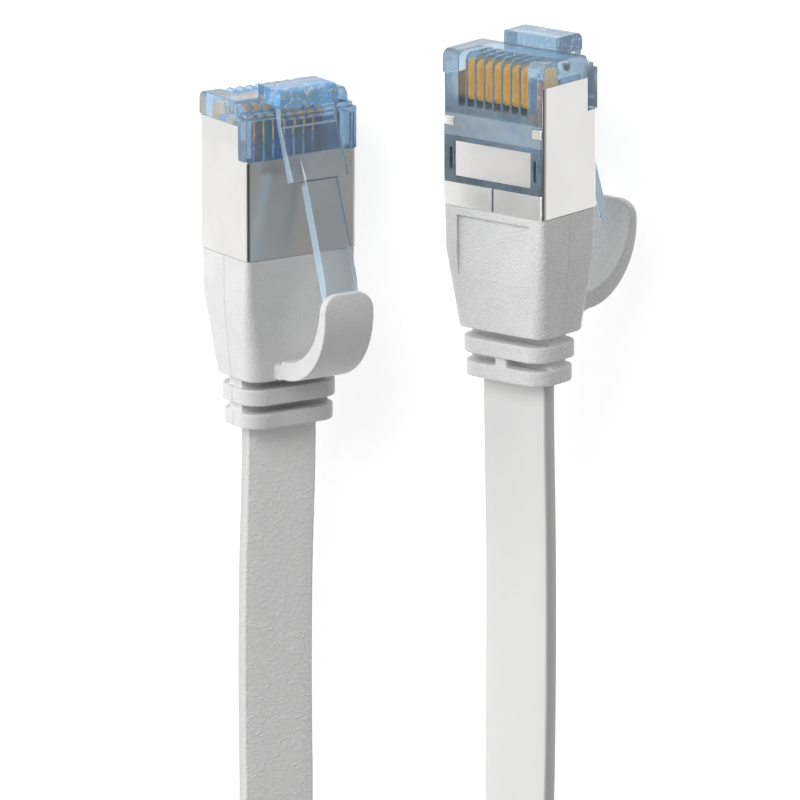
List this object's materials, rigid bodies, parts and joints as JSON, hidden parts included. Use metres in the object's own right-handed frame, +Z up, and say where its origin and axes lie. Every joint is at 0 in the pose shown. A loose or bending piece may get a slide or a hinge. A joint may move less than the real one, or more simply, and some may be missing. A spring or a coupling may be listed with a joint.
{
  "type": "ethernet patch cable",
  "caption": "Flat white shielded network patch cable with a translucent blue modular plug, hooked boot and strain relief on each end, its spare length coiled and tied.",
  "frame": {"origin": "middle of the two plugs' footprint on the surface they lie on", "axes": "+Y the way both plug noses point, +Z up from the surface, +X from the left plug to the right plug"},
  "size_m": [0.0824, 0.1632, 0.0158],
  "materials": {
    "clear_blue_plastic": "clear tinted polycarbonate",
    "clear_plastic": "clear polycarbonate",
    "gold_contact": "gold-plated blades",
    "nickel_sheet": "bright nickel plate with a fine rolling grain",
    "white_boot": "fine spark-eroded matte texture",
    "white_jacket": "satin jacket with a faint orange-peel texture",
    "inner_mold_plastic": "plain moulded polyethylene",
    "foil": "crinkled foil",
    "orange_wire": "insulation",
    "green_wire": "insulation",
    "blue_wire": "insulation",
    "brown_wire": "insulation",
    "tie_strap": "woven hook-and-loop strap"
  },
  "bodies": {
    "cable": {"left_housing": "clear_blue_plastic", "left_contacts": "gold_contact", "left_shield": "nickel_sheet", "left_clamp_plate": "nickel_sheet", "left_load_bar": "clear_plastic", "left_orange_pair": "orange_wire", "left_green_pair": "green_wire", "left_blue_pair": "blue_wire", "left_brown_pair": "brown_wire", "left_foil_screen": "foil", "left_inner_mold": "inner_mold_plastic", "left_boot": "white_boot", "right_housing": "clear_blue_plastic", "right_contacts": "gold_contact", "right_shield": "nickel_sheet", "right_clamp_plate": "nickel_sheet", "right_load_bar": "clear_plastic", "right_orange_pair": "orange_wire", "right_green_pair": "green_wire", "right_blue_pair": "blue_wire", "right_brown_pair": "brown_wire", "right_foil_screen": "foil", "right_inner_mold": "inner_mold_plastic", "right_boot": "white_boot", "left_lead": "white_jacket", "cable_coil": "white_jacket", "right_lead": "white_jacket", "coil_tie": "tie_strap"},
    "left_latch_lever": {"left_latch": "clear_blue_plastic"},
    "left_release_hook": {"left_hook": "white_boot"},
    "right_latch_lever": {"right_latch": "clear_blue_plastic"},
    "right_release_hook": {"right_hook": "white_boot"}
  },
  "joints": [
    {"name": "left_hook_press", "type": "hinge", "parent": "cable", "child": "left_release_hook", "pos_m": [-0.0163, -0.0111, 0.00817], "axis": [1, 0, 0], "range_deg": [-16, 0], "stiffness_Nm_per_rad": 0.01},
    {"name": "left_latch_press", "type": "hinge", "parent": "cable", "child": "left_latch_lever", "pos_m": [-0.0163, 0.0128, 0.00873], "axis": [1, 0, 0], "range_deg": [0, 9], "stiffness_Nm_per_rad": 0.02},
    {"name": "right_hook_press", "type": "hinge", "parent": "cable", "child": "right_release_hook", "pos_m": [0.01169, -0.0097, 0.00572], "axis": [-0.3156, 0, -0.9489], "range_deg": [-29, 0], "stiffness_Nm_per_rad": 0.01},
    {"name": "right_latch_press", "type": "hinge", "parent": "cable", "child": "right_latch_lever", "pos_m": [0.01221, 0.0142, 0.00555], "axis": [-0.3156, 0, -0.9489], "range_deg": [0, 9], "stiffness_Nm_per_rad": 0.02}
  ],
  "couplings": [
    {"joint": "left_latch_press", "follows": "left_hook_press", "ratio": -0.55},
    {"joint": "right_latch_press", "follows": "right_hook_press", "ratio": -0.31}
  ]
}
